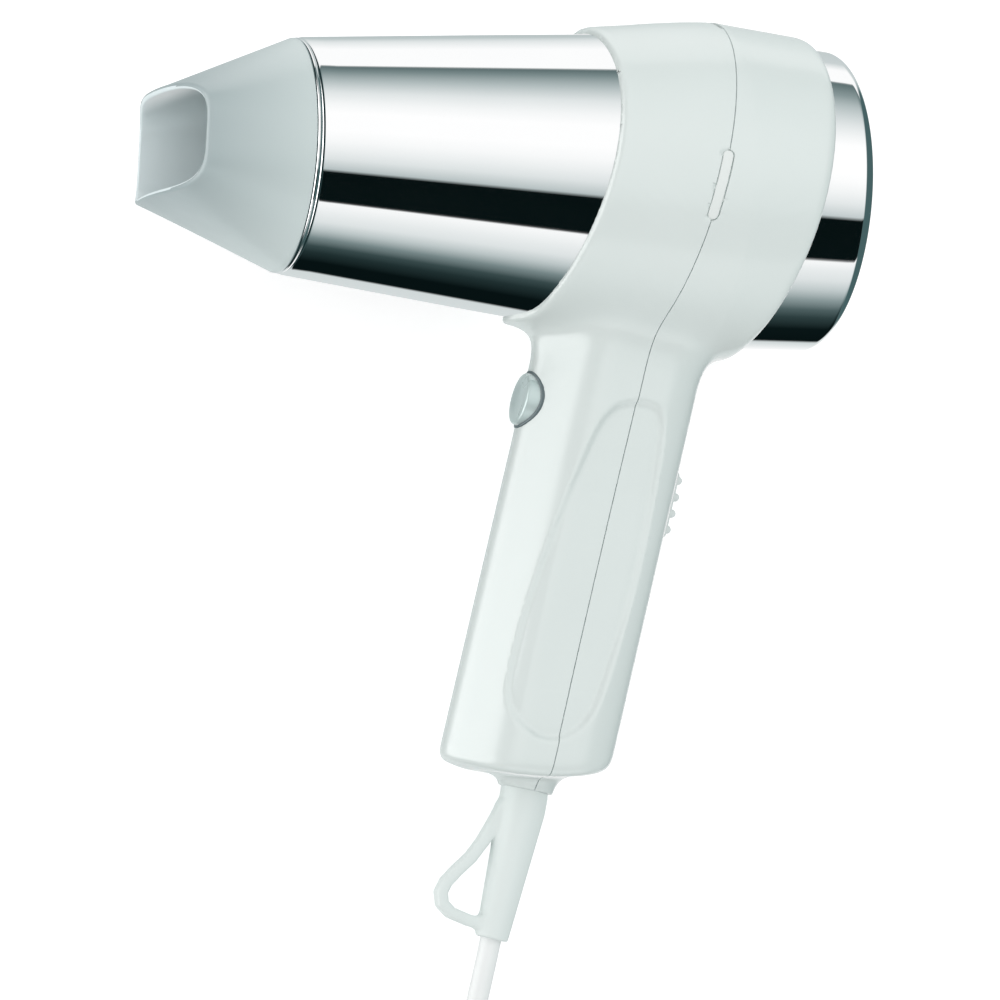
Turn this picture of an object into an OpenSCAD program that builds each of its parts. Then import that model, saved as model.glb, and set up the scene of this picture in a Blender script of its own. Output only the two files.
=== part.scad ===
// Hair dryer with a turning concentrator nozzle, a push button, a slide switch and a mains cord.
// It is drawn upright: x runs along the barrel from the tube mouth to the rear, z is up, the handle
// hangs down. lay() then puts it on its side on the surface z = 0, as it lies when it is put down.

/* [Nozzle] */
// Length of the nozzle in front of the tube mouth
nozzle_len = 38; // [30:1:50]
// Width of the air slot, outside
slot_w = 76; // [60:1:86]
// Height of the air slot, outside
slot_h = 30; // [24:1:38]
// Wall of the nozzle
nozzle_wall = 1.8; // [1.4:0.1:2.4]

/* [Front tube] */
// Outer radius of the front tube at its mouth
tube_mouth_r = 33; // [27.5:0.5:39.5]
// How much wider in radius the tube is at its inner end
tube_flare = 9.4; // [7.8:0.2:11.4]
// Length of the front tube
tube_len = 92; // [76:1:112]
// Wall of the front tube
tube_wall = 1.2; // [1:0.1:1.5]

/* [Casing] */
// Wall of the two casing shells
shell_wall = 2.4; // [2:0.1:2.9]
// How far the collar stands out from the tube at its widest
collar_rise = 5.9; // [5:0.1:7.1]

/* [Rear cap] */
// Distance from the handle axis to the rear end of the cap
cap_tail = 50.5; // [43:0.5:60]
// Radius of the rounded rear edge of the cap
cap_round = 4; // [3.3:0.1:4.8]
// Radius of the air inlet in the rear face
inlet_r = 30.5; // [25:0.5:31]

/* [Handle] */
// Front to back depth of the handle
handle_depth = 47.5; // [39:0.5:57]
// Width of the handle
handle_width = 38; // [31:0.5:46]
// Corner radius of the handle's section
handle_corner = 15; // [12:0.5:15.4]
// Distance from the barrel axis down to the lower end of the handle
handle_drop = 167; // [160:1:201]
// Forward lean of the handle, in degrees
handle_lean = 10.8; // [8:0.2:13]

/* [Controls] */
// Radius of the push button
button_r = 7.5; // [6.2:0.1:9]
// Travel of the push button
button_travel = 2.5; // [2:0.1:3]
// Travel of the slide switch to each side of its middle step
switch_travel = 4; // [3.3:0.1:4.8]

/* [Motor] */
// Outer radius of the motor can
motor_r = 17.5; // [14.5:0.1:21]
// Radius of the motor shaft
shaft_r = 1.55; // [1.3:0.05:1.9]
// Number of blades on the impeller
blade_count = 9; // [5:1:11]

/* [Cord] */
// Radius of the cord
cord_r = 3; // [2.6:0.1:3.4]
// Length of the strain relief below the handle
relief_len = 43; // [36:1:52]

/* [Hidden] */
$fn = 96;

// Clearances
running = 0.05;
slip = 0.15;
loose = 0.4;
tiny = 0.01;

// Barrel stations, measured along x from the tube mouth
taper = tube_flare / tube_len;
handle_x = tube_len + 17;
tube_end_r = tube_mouth_r + tube_flare;
collar_r = tube_end_r + collar_rise;
lip_end_x = tube_len + 2;
cavity_end_x = handle_x + 21;
cap_front_x = cavity_end_x + 3;
cap_end_x = handle_x + cap_tail;
cap_r = collar_r - 5;
cap_taper = 0.05;
cap_wall = 1.2;
rim_half = 0.9;
spigot_wall = 1.6;
spigot_r = tube_mouth_r - 2.6;
spigot_len = 7.5;
grille_x = spigot_len + 1;
grille_len = 3;
heater_x = grille_x + grille_len;
heater_end_x = tube_len - 6;
heater_r = tube_mouth_r - 1.5;
wire_r = 0.5;
wire_turns = 8;
wire_coil_r = heater_r - 9.9;
sleeve_r = tube_end_r - 1.7;
sleeve_wall = 1.5;
sleeve_x = tube_len + 0.5;
sleeve_end_x = cap_end_x - 12;
fan_r = sleeve_r - sleeve_wall - 1;
fan_len = 14;
fan_x = sleeve_end_x - fan_len;
hub_x = tube_len + 12;
hub_end_x = fan_x - 5;
hub_wall = 1.4;
hub_r = motor_r + 0.1 + hub_wall;
can_x = hub_x - 3;
can_end_x = hub_end_x - hub_wall - 0.1;
can_wall = 1.2;
endcap_len = 4;
bush_len = 3;
bush_r = shaft_r + 1.5;

// Edges and seam of the casing, as distances along x from the handle axis, and their leans
front_edge = -28.4;
front_edge_lean = 8.5;
rear_edge = 35.5;
rear_edge_lean = 12.5;
seam_u = 3.1;

// Stations down the handle axis, from the barrel axis
button_d = 68.6;
switch_d = 87;
handle_end_d = (handle_drop - seam_u * sin(handle_lean)) / cos(handle_lean);
screw_ds = [54, handle_end_d - 57, handle_end_d - 33];
clamp_d = handle_end_d - 19;
clamp_len = 7;
terminal_d = handle_end_d - 46;
terminal_len = 13;
relief_d = handle_end_d + 5.5;
front_u = -handle_depth / 2;
rear_u = handle_depth / 2;

// Lay-down: the collar and the right-hand edge of the handle's lower end both touch the surface
chamfer = 4.5;
foot_z = handle_drop - chamfer;
lie_tilt = asin(collar_r / norm([foot_z, handle_width / 2])) - atan2(handle_width / 2, foot_z);
relief_end_d = relief_d + relief_len;
relief_end_r = 4.8;
relief_end_z = relief_end_d * cos(handle_lean) + (seam_u + relief_end_r) * sin(handle_lean);
mid_x = (cap_end_x - nozzle_len - 2) / 2;
mid_y = (collar_r - relief_end_z * cos(lie_tilt)) / 2;

module lay() translate([-mid_x, -mid_y, collar_r]) rotate([lie_tilt - 90, 0, 0]) children();
module barrel(x = 0) translate([x, 0, 0]) rotate([0, 90, 0]) children();
module handle() translate([handle_x, 0, 0]) rotate([0, handle_lean, 0]) children();
function from_handle(p) = [
    handle_x + p[0] * cos(handle_lean) + p[2] * sin(handle_lean), p[1],
    p[2] * cos(handle_lean) - p[0] * sin(handle_lean)
];
// A point at u towards the rear, y to the right and d down the handle
module at_handle(u, y, d) handle() translate([u, y, -d]) children();
module towards_rear(u, y, d) at_handle(u, y, d) rotate([0, 90, 0]) children();

function tube_r(x) = tube_mouth_r + taper * x;
function cap_r_at(x) = cap_r + cap_taper * (cap_end_x - cap_round - x);
function unit(v) = v / norm(v);
// A smooth curve through the points, with the given number of steps between two of them
function blend(a, b, c, d, t) =
    (2 * b + (c - a) * t + (2 * a - 5 * b + 4 * c - d) * t * t + (3 * b - 3 * c + d - a) * t * t * t) / 2;
function smooth(p, steps) = concat(
    [for (i = [0:len(p) - 2], s = [0:steps - 1])
        blend(p[max(i - 1, 0)], p[i], p[i + 1], p[min(i + 2, len(p) - 1)], s / steps)],
    [p[len(p) - 1]]);

// A round tube swept along a path
module sweep(path, radius, sides, up = [0, 0, 1]) {
    last = len(path) - 1;
    points = [
        for (i = [0:last])
            let (t = unit(path[min(i + 1, last)] - path[max(i - 1, 0)]),
                 side = unit(cross(up, t)), over = cross(t, side))
            for (k = [0:sides - 1])
                path[i] + radius * (cos(360 * k / sides) * side + sin(360 * k / sides) * over)
    ];
    walls = [
        for (i = [0:last - 1], k = [0:sides - 1])
            let (n = (k + 1) % sides)
            [i * sides + k, (i + 1) * sides + k, (i + 1) * sides + n, i * sides + n]
    ];
    start = [for (k = [0:sides - 1]) k];
    end = [for (k = [0:sides - 1]) last * sides + sides - 1 - k];
    polyhedron(points, concat([start], walls, [end]), convexity = 10);
}

module pipe(x, len, r_out, r_in) barrel(x) difference() {
    cylinder(h = len, r = r_out);
    translate([0, 0, -1]) cylinder(h = len + 2, r = r_in);
}

// A solid of revolution about the barrel axis from points [x, r]
module turned(points) barrel() rotate_extrude() polygon([for (p = points) [p[1], p[0]]]);

module rounded_rect(depth, width, corner) {
    square([depth - 2 * corner, width], center = true);
    square([depth, width - 2 * corner], center = true);
    for (a = [-1, 1], b = [-1, 1])
        translate([a * (depth / 2 - corner), b * (width / 2 - corner)]) circle(r = corner);
}

module bar(a, b, r) {
    for (p = [a, b]) translate(p) circle(r = r);
    translate(a) rotate(atan2(b[1] - a[1], b[0] - a[0])) translate([0, -r]) square([norm(b - a), 2 * r]);
}

// ---------- nozzle and front tube ----------

// The loft from a circle at the tube mouth to the flat slot, drawn in by the given wall
module nozzle_loft(base_r, inset, lip) {
    corner = slot_h * 0.38;
    hull() {
        pipe(-3, 2, base_r, tiny);
        for (a = [-1, 1], b = [-1, 1])
            translate([-nozzle_len - lip, a * (slot_w / 2 - corner), b * (slot_h / 2 - corner)])
                rotate([0, 90, 0]) cylinder(h = 4, r = corner - inset, $fn = 32);
    }
}

module nozzle() {
    arc_r = 120;
    color("whitesmoke") {
        difference() {
            intersection() {
                nozzle_loft(tube_mouth_r - 0.3, 0, 2);
                translate([arc_r - nozzle_len - 2, 0, 0])
                    cylinder(h = 2 * tube_end_r, r = arc_r, center = true);
            }
            nozzle_loft(spigot_r - spigot_wall, nozzle_wall, 3);
        }
        pipe(-1 - tiny, spigot_len + 1, spigot_r, spigot_r - spigot_wall);
    }
}

module front_ring() {
    color("silver") {
        pipe(-rim_half, 2 * rim_half, tube_mouth_r + 0.5, spigot_r + running);
        pipe(rim_half - tiny, spigot_len - 1.5, tube_mouth_r - tube_wall - running, spigot_r + running);
    }
}

module front_tube() {
    color("lightgray") turned([
        [rim_half, tube_r(rim_half)], [tube_len, tube_end_r],
        [tube_len, tube_end_r - tube_wall], [rim_half, tube_r(rim_half) - tube_wall]
    ]);
}

module outlet_grille() {
    rim_r = tube_r(grille_x) - tube_wall - slip;
    bar_w = 1.2;
    color("dimgray") {
        pipe(grille_x, grille_len, rim_r, rim_r - 1.8);
        for (r = [rim_r / 3, rim_r * 2 / 3]) pipe(grille_x, grille_len, r, r - bar_w);
        barrel(grille_x) for (a = [0:60:179])
            rotate(a) translate([-rim_r + 1, -bar_w / 2, 0]) cube([2 * rim_r - 2, bar_w, grille_len]);
    }
}

// ---------- heater ----------

module heater_sleeve() {
    color("wheat") pipe(heater_x, heater_end_x - heater_x, heater_r, heater_r - 0.6);
}

module heater_boards() {
    tab = 5;
    edge = wire_coil_r - wire_r;
    wide = heater_r - 0.6 - slip;
    half = [
        [heater_x, wide], [heater_x + tab, wide], [heater_x + tab, edge],
        [heater_end_x - tab, edge], [heater_end_x - tab, wide], [heater_end_x, wide]
    ];
    mirrored = [for (i = [len(half) - 1:-1:0]) [half[i][0], -half[i][1]]];
    color("burlywood") for (a = [0, 90])
        rotate([a, 0, 0]) linear_extrude(1, center = true) polygon(concat(half, mirrored));
}

module heating_wire() {
    steps = 20;
    first_x = heater_x + 8;
    pitch = (heater_end_x - heater_x - 16) / wire_turns;
    path = [for (i = [0:wire_turns * steps])
        let (a = 360 * i / steps)
        [first_x + pitch * i / steps, wire_coil_r * cos(a), wire_coil_r * sin(a)]];
    color("gray") sweep(path, wire_r, 6, [1, 0, 0]);
}

module thermostat() {
    color("silver") translate([heater_end_x - 20, 9, 0.5]) cylinder(h = 4, r = 5);
    color("silver") translate([heater_end_x - 20, 9, 4.5]) cylinder(h = 1.5, r = 3);
}

module thermal_fuse() {
    color("gold") translate([heater_end_x - 26, -9, 2]) rotate([0, 90, 0]) cylinder(h = 11, r = 1.5);
}

// ---------- fan and motor ----------

module fan_housing() {
    vane_count = 7;
    vane_x = hub_x + 8;
    vane_len = hub_end_x - vane_x - 2;
    vane_t = 1.4;
    ring = cap_r_at(sleeve_end_x) - cap_wall - slip;
    color("lightslategray") difference() {
        union() {
            pipe(sleeve_x, sleeve_end_x - sleeve_x, sleeve_r, sleeve_r - sleeve_wall);
            pipe(sleeve_end_x - 2.5, 2.5, ring, sleeve_r - tiny);
            pipe(hub_x, hub_end_x - hub_x, hub_r, hub_r - hub_wall);
            pipe(hub_end_x - hub_wall, hub_wall, hub_r, bush_r + 1);
            intersection() {
                pipe(vane_x, vane_len, sleeve_r - sleeve_wall + 0.2, hub_r - 0.2);
                barrel(vane_x + vane_len / 2) for (i = [0:vane_count - 1])
                    rotate(360 * i / vane_count) rotate([18, 0, 0])
                        translate([0, -vane_t / 2, -vane_len]) cube([sleeve_r, vane_t, 2 * vane_len]);
            }
        }
        translate([hub_x - 1, 0, -sleeve_r - 5]) cylinder(h = 10, r = 6.5);
    }
}

module motor_can() {
    color("silver") difference() {
        barrel(can_x) cylinder(h = can_end_x - can_x, r = motor_r);
        barrel(can_x - 1) cylinder(h = can_end_x - can_x + 1 - can_wall, r = motor_r - can_wall);
        barrel(can_end_x - can_wall - 1) cylinder(h = can_wall + 2, r = bush_r);
    }
}

module motor_magnets() {
    color("darkslategray") barrel(can_x + 3) for (a = [-60, 120])
        rotate(a) rotate_extrude(angle = 120)
            translate([motor_r - can_wall - 3.1, 0]) square([3, can_end_x - can_x - 10]);
}

module motor_endcap() {
    color("black") difference() {
        union() {
            barrel(can_x - endcap_len) cylinder(h = endcap_len, r = motor_r);
            for (s = [-1, 1]) translate([can_x - endcap_len - 3, s * 10 - 1, 3]) cube([3.5, 2, 5]);
        }
        barrel(can_x - endcap_len - 1) cylinder(h = endcap_len + 2, r = bush_r);
    }
}

module motor_bushes() {
    color("peru") {
        pipe(can_x - endcap_len, bush_len, bush_r, shaft_r + running);
        pipe(can_end_x - bush_len, bush_len, bush_r, shaft_r + running);
    }
}

module armature() {
    core_r = motor_r - can_wall - 4;
    core_len = can_end_x - can_x - 12;
    color("sienna") difference() {
        union() {
            barrel(can_x + 4) cylinder(h = core_len, r = core_r);
            barrel(can_x + 0.5) cylinder(h = 4, r = shaft_r + 2);
        }
        barrel(can_x) cylinder(h = core_len + 10, r = shaft_r);
        for (a = [0:72:359])
            barrel(can_x + 3.9) rotate(a) translate([core_r - 5, -1.2, 0]) cube([6, 2.4, core_len + 1]);
    }
}

module motor_shaft() {
    color("lightgray") barrel(can_x - endcap_len - 1)
        cylinder(h = sleeve_end_x - can_x + endcap_len, r = shaft_r);
}

module impeller() {
    hub = motor_r * 0.7;
    blade_t = 1.4;
    color("darkgray") difference() {
        union() {
            barrel(fan_x) cylinder(h = fan_len - 1, r = hub);
            intersection() {
                pipe(fan_x + 1, fan_len - 3, fan_r, hub - 0.5);
                barrel(fan_x + fan_len / 2) for (i = [0:blade_count - 1])
                    rotate(360 * i / blade_count) rotate([42, 0, 0])
                        translate([0, -blade_t / 2, -fan_len]) cube([fan_r + 5, blade_t, 2 * fan_len]);
            }
        }
        barrel(fan_x - 1) cylinder(h = fan_len + 2, r = shaft_r);
        pipe(fan_x - tiny, fan_len - 4, hub - 2, shaft_r + 3);
    }
}

// ---------- rear cap ----------

module cap_outline(inset) {
    centre_x = cap_end_x - cap_round;
    arc = [for (a = [90:-10:0])
        [cap_r - cap_round + (cap_round - inset) * sin(a), centre_x + (cap_round - inset) * cos(a)]];
    polygon(concat(
        [[0, cap_front_x - inset], [cap_r_at(cap_front_x) - inset, cap_front_x - inset]],
        arc, [[0, cap_end_x - inset]]));
}

module rear_cap() {
    color("lightgray") difference() {
        barrel() rotate_extrude() cap_outline(0);
        barrel() rotate_extrude() cap_outline(cap_wall);
        barrel(cap_end_x - 3) cylinder(h = 5, r = inlet_r + slip);
    }
}

module inlet_grille() {
    bar_w = 1.4;
    disc_x = cap_end_x - cap_wall - 4.2;
    disc_r = inlet_r + 3;
    disc_len = 2.4;
    spoke = inlet_r - 0.9;
    color("gainsboro") {
        pipe(disc_x, disc_len, disc_r, inlet_r - 1);
        pipe(disc_x, cap_end_x - disc_x, inlet_r, inlet_r - 1.5);
        for (r = [inlet_r * 0.2:inlet_r * 0.2:inlet_r * 0.85]) pipe(disc_x, disc_len, r, r - bar_w);
        barrel(disc_x) for (a = [0:45:179])
            rotate(a) translate([-spoke, -bar_w / 2, 0.2]) cube([2 * spoke, bar_w, disc_len - 0.4]);
    }
}

module inlet_filter() {
    filter_r = inlet_r + 3;
    filter_x = cap_end_x - cap_wall - 5.2;
    gap = filter_r / 6;
    color("gray") {
        pipe(filter_x, 1, filter_r, filter_r - 2);
        barrel(filter_x + 0.2) linear_extrude(0.6) intersection() {
            circle(r = filter_r - 1);
            for (a = [0, 90], i = [-5:5])
                rotate(a) translate([-filter_r, i * gap - 0.3]) square([2 * filter_r, 0.6]);
        }
    }
}

// ---------- casing ----------

function collar_points(inset) = [
    [handle_x - 32, collar_r - 5.4 - inset], [handle_x - 18, collar_r - 3.6 - inset],
    [handle_x - 3, collar_r - 0.7 - inset], [handle_x + 3, collar_r - inset],
    [handle_x + 21, collar_r - inset], [handle_x + 45, collar_r - 2 - inset]
];

module collar_solid() {
    p = collar_points(0);
    x0 = p[0][0] - 20;
    turned(concat([[x0, 0], [x0, p[0][1] - 2]], p, [[handle_x + 50, collar_r - 4], [handle_x + 50, 0]]));
}

module collar_cavity() {
    p = collar_points(shell_wall);
    turned([
        [lip_end_x, 0], [lip_end_x, p[1][1] + 0.2], p[2], p[3],
        [cavity_end_x, collar_r - shell_wall], [cavity_end_x, 0]
    ]);
}

module casing_outer() {
    reach = 3 * collar_r;
    intersection() {
        union() {
            intersection() {
                collar_solid();
                translate([handle_x + front_edge, 0, 0]) rotate([0, front_edge_lean, 0])
                    translate([0, -reach, -reach]) cube([2 * reach, 2 * reach, 2 * reach]);
                translate([handle_x + rear_edge, 0, 0]) rotate([0, rear_edge_lean, 0])
                    translate([-2 * reach, -reach, -reach]) cube([2 * reach, 2 * reach, 2 * reach]);
            }
            handle() translate([0, 0, -2 * handle_drop])
                linear_extrude(2 * handle_drop - 25) rounded_rect(handle_depth, handle_width, handle_corner);
        }
        translate([handle_x - 2 * reach, -reach, -handle_drop])
            cube([4 * reach, 2 * reach, handle_drop + reach]);
    }
    at_handle(seam_u, 0, relief_d) cylinder(h = 20, r = 9.5);
}

// The wedges that chamfer the four lower edges of the handle
module foot_chamfers() {
    foot_x = handle_x - handle_drop * tan(handle_lean);
    half_depth = handle_depth / 2 / cos(handle_lean);
    for (side = [[0, half_depth], [180, half_depth], [90, handle_width / 2], [-90, handle_width / 2]])
        translate([foot_x, 0, -handle_drop]) rotate(side[0]) translate([side[1], 0, 0])
            rotate([0, 45, 0]) translate([-chamfer * 0.7, -handle_depth, -chamfer * 3])
                translate([chamfer * 0.7 - chamfer / sqrt(2), 0, 0])
                    cube([chamfer * 4, 2 * handle_depth, chamfer * 6]);
}

module bores() {
    turned([[0, 0], [0, tube_r(0) + slip], [tube_len, tube_end_r + slip], [tube_len, 0]]);
    barrel(tube_len - 1) cylinder(h = lip_end_x - tube_len + 2, r = sleeve_r + slip);
    barrel(cavity_end_x - 1)
        cylinder(h = cap_front_x - cavity_end_x + 2, r = cap_r_at(cap_front_x) - cap_wall);
    turned([
        [cap_front_x, 0], [cap_front_x, cap_r_at(cap_front_x) + slip],
        [cap_end_x + 5, cap_r_at(cap_end_x + 5) + slip], [cap_end_x + 5, 0]
    ]);
}

module handle_cavity() {
    intersection() {
        handle() translate([0, 0, -2 * handle_drop]) linear_extrude(2 * handle_drop - 35)
            rounded_rect(
                handle_depth - 2 * shell_wall, handle_width - 2 * shell_wall, handle_corner - shell_wall);
        translate([-handle_drop, -handle_width, -handle_drop + shell_wall])
            cube([3 * handle_drop, 2 * handle_width, 2 * handle_drop]);
        union() {
            collar_cavity();
            translate([handle_x - 2 * collar_r, -collar_r, -2 * handle_drop])
                cube([4 * collar_r, 2 * collar_r, 2 * handle_drop - collar_r + 9]);
        }
    }
}

clip_len = 19.5;
clip_w = 2.8;
module clip_shape(side, grow) {
    translate([handle_x + seam_u / cos(handle_lean), side * (collar_r - 1.6), -2])
        rotate([0, handle_lean, 0]) rotate([90, 0, 0]) linear_extrude(6, center = true)
            bar([0, -(clip_len - clip_w) / 2], [0, (clip_len - clip_w) / 2], clip_w / 2 + grow);
}

module casing() {
    difference() {
        casing_outer();
        collar_cavity();
        bores();
        handle_cavity();
        foot_chamfers();
        at_handle(seam_u, 0, relief_d + 1) cylinder(h = 30, r = neck_r + slip);
        for (side = [-1, 1]) intersection() {
            clip_shape(side, running);
            clip_zone(side);
        }
    }
}

neck_r = 5.2;
// The layer of the collar wall that the seam clips fill
module clip_zone(side) {
    difference() {
        translate([handle_x - 20, side * collar_r - 5, -20]) cube([40, 10, 40]);
        barrel(handle_x - 20) cylinder(h = 40, r = collar_r - 1.5);
    }
}

module half_space(front) {
    reach = 4 * collar_r;
    handle() translate([front ? seam_u - 2 * reach : seam_u, -reach, -2 * reach])
        cube([2 * reach, 2 * reach, 4 * reach]);
}

screw_r = 1.4;
head_r = 2.8;
head_u = rear_u - 4.7;
boss_r = 3.6;
module front_shell() {
    color("whitesmoke") difference() {
        union() {
            intersection() {
                casing();
                half_space(true);
            }
            for (d = screw_ds) towards_rear(front_u + 1, 0, d)
                cylinder(h = seam_u - front_u - 1, r = boss_r);
            for (s = [-1, 1]) towards_rear(front_u + 1, s * clamp_screw_y, clamp_d)
                cylinder(h = clamp_u - front_u - 1, r = 3);
        }
        for (d = screw_ds) towards_rear(-8, 0, d) cylinder(h = 20, r = screw_r);
        for (s = [-1, 1]) towards_rear(clamp_u - 8, s * clamp_screw_y, clamp_d)
            cylinder(h = 12, r = clamp_screw_r);
        towards_rear(front_u - 5, 0, button_d) cylinder(h = 9, r = bezel_r);
    }
}

module rear_shell() {
    color("white") difference() {
        union() {
            intersection() {
                casing();
                half_space(false);
            }
            for (d = screw_ds) towards_rear(seam_u, 0, d) cylinder(h = rear_u - 1 - seam_u, r = boss_r);
        }
        for (d = screw_ds) {
            towards_rear(seam_u - 1, 0, d) cylinder(h = 30, r = screw_r + slip);
            towards_rear(head_u, 0, d) cylinder(h = 10, r = head_r + loose);
        }
        at_handle(rear_u - 5, -window_w / 2 - slip, switch_d + window_len / 2 + slip)
            cube([10, window_w + 2 * slip, window_len + 2 * slip]);
    }
}

module seam_clips() {
    color("gainsboro") for (side = [-1, 1]) intersection() {
        clip_shape(side, 0);
        clip_zone(side);
        collar_solid();
    }
}

module shell_screws() {
    color("silver") for (d = screw_ds) {
        towards_rear(-6, 0, d) cylinder(h = head_u + 6, r = screw_r);
        difference() {
            towards_rear(head_u, 0, d) cylinder(h = 2, r = head_r);
            towards_rear(head_u + 1, 0, d) cylinder(h = 2, r = 1.3, $fn = 6);
        }
    }
}

// ---------- controls ----------

bezel_r = button_r + 1.7;
face_u = front_u - 1.5;
button_back_u = front_u + 4.7;
micro_u = button_back_u + 4.5;
plunger_r = 2;
plunger_dip = 1.5;
micro_len = 8.5;

module button_bezel() {
    color("gray") towards_rear(front_u + 0.4, 0, button_d) difference() {
        cylinder(h = 4, r = bezel_r);
        translate([0, 0, -1]) cylinder(h = 6, r = button_r + running);
    }
}

module push_button() {
    dish_r = 60;
    color("lightsteelblue") difference() {
        towards_rear(face_u, 0, button_d) cylinder(h = button_back_u - face_u, r = button_r);
        towards_rear(face_u, 0, button_d) translate([0, 0, 0.4 - dish_r]) sphere(r = dish_r, $fn = 96);
    }
}

module switch_plunger() {
    color("red") towards_rear(button_back_u, 0, button_d)
        cylinder(h = micro_u - button_back_u + plunger_dip, r = plunger_r);
}

module button_spring() {
    coils = 3.5;
    steps = 16;
    rod_r = 0.35;
    free_len = micro_u - button_back_u - 2 * rod_r - 0.1;
    path = [for (i = [0:coils * steps])
        let (a = 360 * i / steps)
        [4 * cos(a), 4 * sin(a), rod_r + 0.05 + free_len * i / (coils * steps)]];
    color("silver") towards_rear(button_back_u, 0, button_d) sweep(path, rod_r, 6);
}

module micro_switch() {
    color("black") difference() {
        at_handle(micro_u + micro_len / 2, 0, button_d) cube([micro_len, 10, 14], center = true);
        towards_rear(micro_u - 1, 0, button_d)
            cylinder(h = 1 + plunger_dip + button_travel + 0.5, r = plunger_r + running);
    }
    color("silver") for (dz = [-4, 4])
        at_handle(micro_u + micro_len + 1.5, 0, button_d + dz) cube([3 + tiny, 3, 1], center = true);
}

window_len = 28;
window_w = 12;
plate_u = rear_u - 3.15;
stem_len = 5;
stem_w = 3;
slide_front_u = plate_u - 1.1 - 11.3;

module switch_plate() {
    slot_len = stem_len + 2 * switch_travel + 2 * slip;
    color("gainsboro") difference() {
        union() {
            at_handle(plate_u - 0.5, 0, switch_d) cube([1, window_w + 3.6, window_len + 4], center = true);
            at_handle(plate_u + 0.8 - tiny, 0, switch_d) cube([1.6, window_w, window_len], center = true);
        }
        at_handle(plate_u, 0, switch_d) cube([8, stem_w + 2 * slip, slot_len], center = true);
    }
}

module slide_knob() {
    knob_len = window_len - 2 * switch_travel - 1;
    top_u = plate_u + 4.3;
    crown = 0.3;
    color("whitesmoke") {
        at_handle((plate_u + 1.7 + top_u) / 2, 0, switch_d)
            cube([top_u - plate_u - 1.7, window_w - 0.6, knob_len], center = true);
        for (i = [-1.5:1.5])
            at_handle(top_u + (abs(i) < 1 ? crown : 0), 0, switch_d + i * knob_len / 4) rotate([90, 0, 0])
                cylinder(h = window_w - 1.2, r = 1.2, center = true);
        at_handle(plate_u - 2, 0, switch_d) cube([8, stem_w, stem_len], center = true);
    }
}

module slide_switch() {
    color("black") difference() {
        at_handle((slide_front_u + plate_u - 1.1) / 2, 0, switch_d)
            cube([plate_u - 1.1 - slide_front_u, window_w, 22], center = true);
        at_handle(plate_u - 2.5, 0, switch_d)
            cube([9, stem_w + 2 * slip, stem_len + 2 * switch_travel + 2 * loose], center = true);
    }
}

module circuit_board() {
    board_t = 1.6;
    color("darkgreen") at_handle(slide_front_u - board_t / 2, 0, switch_d + 2)
        cube([board_t, handle_width - 11, 34], center = true);
    color("black") for (s = [-1, 1])
        at_handle(slide_front_u - board_t - 1.5 + tiny, s * 8, switch_d + 13) cube([3, 4, 6], center = true);
}

terminal_ys = [-9, -5, 5, 9];
module terminal_block() {
    color("ivory") difference() {
        at_handle(-2, 0, terminal_d) cube([8, 24, terminal_len], center = true);
        for (y = terminal_ys) at_handle(-2, y, terminal_d)
            cylinder(h = terminal_len + 2, r = 1.6, center = true);
    }
}

// Two leads run to the motor and two to the heater, through the hole under the fan housing. They keep
// to both sides of the screw bosses.
module lead_wires() {
    lead_r = 0.9;
    motor_x = can_x - endcap_len - 1.5;
    heater_out_x = heater_end_x + lead_r;
    start_z = terminal_len / 2 - terminal_d - 1;
    color("crimson") for (s = [-1, 1]) sweep(smooth([
        from_handle([-2, s * 9, start_z]), from_handle([-2, s * 9, start_z + 4]),
        from_handle([-2, s * 7.5, -98]), from_handle([-2, s * 6.5, -66]), from_handle([-1.6, s * 5.8, -54]),
        from_handle([-1.5, s * 4.4, -44]), from_handle([-1.5, s * 4.3, -38]),
        [motor_x - 1, s * 6.5, -22], [motor_x - 1.5, s * 9, -10], [motor_x, s * 10, 2]
    ], 4), lead_r, 6, [1, 0, 0]);
    color("royalblue") for (s = [-1, 1]) sweep(smooth([
        from_handle([-2, s * 5, start_z]), from_handle([-1.8, s * 5.1, start_z + 4]),
        from_handle([1.4, s * 6, -98]), from_handle([2, s * 5.8, -66]), from_handle([2.4, s * 5.5, -54]),
        from_handle([2.5, s * 4.3, -44]), from_handle([2.5, s * 4.2, -38]),
        [heater_out_x + 6, s * 3.4, -25], [heater_out_x + 0.5, s * 5, -12], [heater_out_x, s * 6, 1]
    ], 4), lead_r, 6, [1, 0, 0]);
}

// ---------- cord entry ----------

clamp_u = -1;
clamp_depth = 8;
clamp_screw_y = 7;
clamp_screw_r = 1.25;

// The cord's jacket ends below the third screw, and its two cores go on to the terminal block
module inner_cable() {
    bottom_d = handle_end_d - 8;
    top_d = handle_end_d - 28.5;
    block_d = terminal_d + terminal_len / 2;
    color("white") {
        at_handle(seam_u, 0, bottom_d) cylinder(h = bottom_d - top_d, r = cord_r);
        for (s = [-1, 1]) handle() sweep(smooth([
            [seam_u, s * 1.7, -top_d - 1], [seam_u, s * 2.4, -top_d + 0.6], [1.6, s * 5.8, -top_d + 3.6],
            [-1.4, s * 5.8, -block_d - 3.5], [-2, s * 5, -block_d + 1]
        ], 3), 0.8, 6, [1, 0, 0]);
    }
}

module cord_clamp() {
    color("lightgray") difference() {
        at_handle(clamp_u + clamp_depth / 2, 0, clamp_d) cube([clamp_depth, 20, clamp_len], center = true);
        at_handle(seam_u, 0, clamp_d) cylinder(h = clamp_len + 2, r = cord_r, center = true);
        for (s = [-1, 1]) towards_rear(clamp_u - 1, s * clamp_screw_y, clamp_d)
            cylinder(h = clamp_depth + 2, r = clamp_screw_r + slip);
    }
}

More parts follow.
